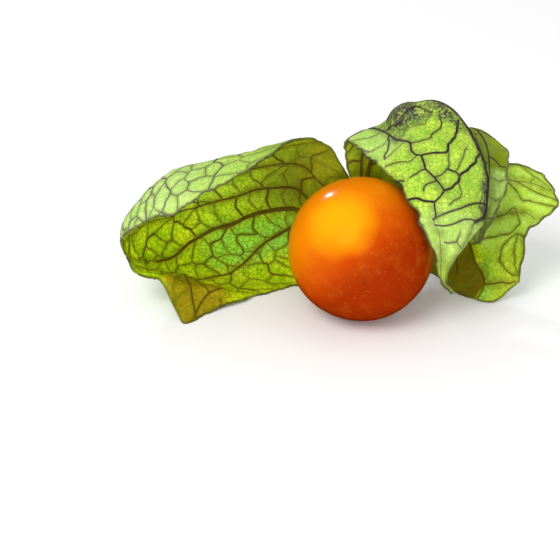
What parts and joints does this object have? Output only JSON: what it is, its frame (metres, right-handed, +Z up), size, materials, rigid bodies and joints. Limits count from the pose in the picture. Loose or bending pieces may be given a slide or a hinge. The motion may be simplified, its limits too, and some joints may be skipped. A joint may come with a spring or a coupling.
{
  "type": "physalis berry",
  "caption": "Ripe physalis berry lying in its own papery husk, torn open into broad veined lobes, with its cut stalk",
  "frame": {"origin": "middle of the small flat spot that the berry rests on", "axes": "+X to the right of the open husk, along its longest extent; +Y from the open mouth towards the stalk; +Z up"},
  "size_m": [0.0581, 0.0321, 0.0264],
  "materials": {
    "berry_skin": "smooth waxy fruit skin",
    "husk_sheet": "dry papery leaf tissue with raised ribs",
    "stalk": "ribbed, slightly hairy green-brown stalk"
  },
  "bodies": {
    "root": {"berry": "berry_skin", "husk": "husk_sheet", "stem": "stalk"}
  },
  "joints": []
}
